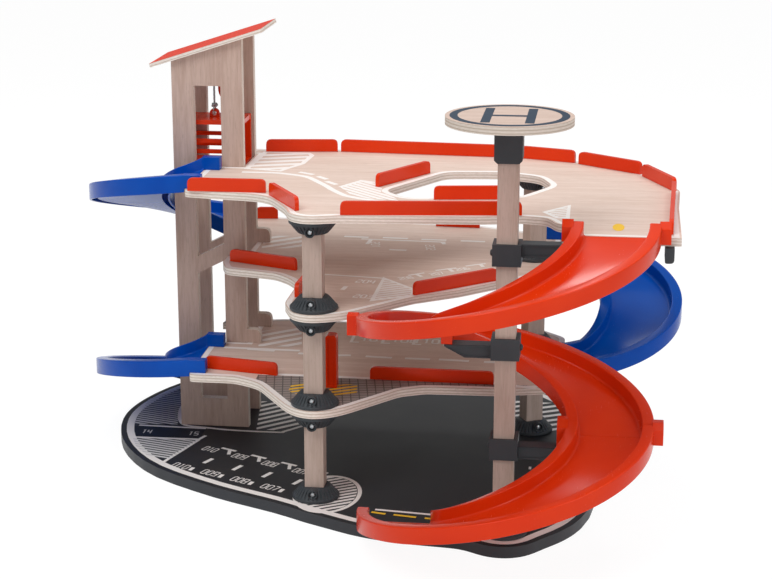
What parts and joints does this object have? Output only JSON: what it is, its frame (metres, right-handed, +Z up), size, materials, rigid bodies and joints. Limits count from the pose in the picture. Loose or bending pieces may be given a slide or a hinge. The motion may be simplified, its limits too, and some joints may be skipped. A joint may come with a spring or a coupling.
{
  "type": "toy parking garage with lift",
  "caption": "Toy parking garage with plywood decks, spiral ramp, half-turn slides, a hand-cranked lift tower and a landing pad on a mast.",
  "frame": {"origin": "middle of the base plate's underside, on the surface it stands on", "axes": "+Z up, the front of the garage towards -Y, the lift tower on the left at -X"},
  "size_m": [0.6761, 0.6539, 0.4774],
  "materials": {
    "beech_ply": "pale beech plywood, satin, with light layered edges",
    "beech": "plain beech, satin",
    "base_grey": "board painted dark grey, satin",
    "red_plastic": "orange-red, smooth",
    "blue_plastic": "royal blue, smooth",
    "dark_plastic": "dark grey, moulded",
    "roof_red": "thin plywood, printed red above",
    "cord": "grey twisted cord",
    "hook_steel": "bent wire"
  },
  "bodies": {
    "garage": {"base_plate": "base_grey", "deck_1": "beech_ply", "deck_2": "beech_ply", "deck_3": "beech_ply", "rail_3_back_left": "red_plastic", "rail_3_back_middle": "red_plastic", "rail_3_back_right": "red_plastic", "rail_3_right_back": "red_plastic", "rail_3_right_middle": "red_plastic", "rail_3_right_front": "red_plastic", "rail_3_left_front": "red_plastic", "rail_3_left_inner": "red_plastic", "rail_3_front": "red_plastic", "rail_3_well_left": "red_plastic", "rail_3_well_front": "red_plastic", "rail_2_front_left": "red_plastic", "rail_2_left": "red_plastic", "rail_2_front_right": "red_plastic", "rail_2_back_left": "red_plastic", "rail_2_back_right": "red_plastic", "rail_1_front_left": "red_plastic", "rail_1_front": "red_plastic", "front_post": "beech", "rear_post": "beech", "front_socket_0_top": "dark_plastic", "front_socket_1_under": "dark_plastic", "front_socket_1_top": "dark_plastic", "front_socket_2_under": "dark_plastic", "front_socket_2_top": "dark_plastic", "front_socket_3_under": "dark_plastic", "rear_socket_0_top": "dark_plastic", "rear_socket_1_under": "dark_plastic", "rear_socket_1_top": "dark_plastic", "rear_socket_2_under": "dark_plastic", "rear_socket_2_top": "dark_plastic", "rear_socket_3_under": "dark_plastic", "mast": "beech", "ramp_bracket_1": "dark_plastic", "ramp_bracket_2": "dark_plastic", "ramp_bracket_3": "dark_plastic", "ramp_hanger": "dark_plastic", "landing_pad": "beech_ply", "landing_pad_socket": "dark_plastic", "ramp_upper": "red_plastic", "ramp_middle": "red_plastic", "ramp_lower": "red_plastic", "slide_upper_left": "blue_plastic", "slide_lower_left": "blue_plastic", "slide_right": "blue_plastic", "tower_panel_front": "beech_ply", "tower_panel_back": "beech_ply", "tower_roof": "roof_red", "lift_cord": "cord", "winch_cord": "cord", "cord_roller": "beech", "service_pump": "red_plastic"},
    "lift": {"lift_cabin": "red_plastic", "lift_hook": "hook_steel"},
    "winch": {"winch_drum": "beech", "crank_wheel": "red_plastic"}
  },
  "joints": [
    {"name": "lift_travel", "type": "slide", "parent": "garage", "child": "lift", "axis": [0, 0, 1], "range_m": [-0.305, 0], "deforming": ["lift_cord"]},
    {"name": "winch_turn", "type": "hinge", "parent": "garage", "child": "winch", "pos_m": [-0.1521, 0.09275, 0.3969], "axis": [0, 1, 0], "range_deg": [-2497, 0]}
  ],
  "couplings": [
    {"joint": "winch_turn", "follows": "lift_travel", "rad_per_m": 142.86}
  ]
}
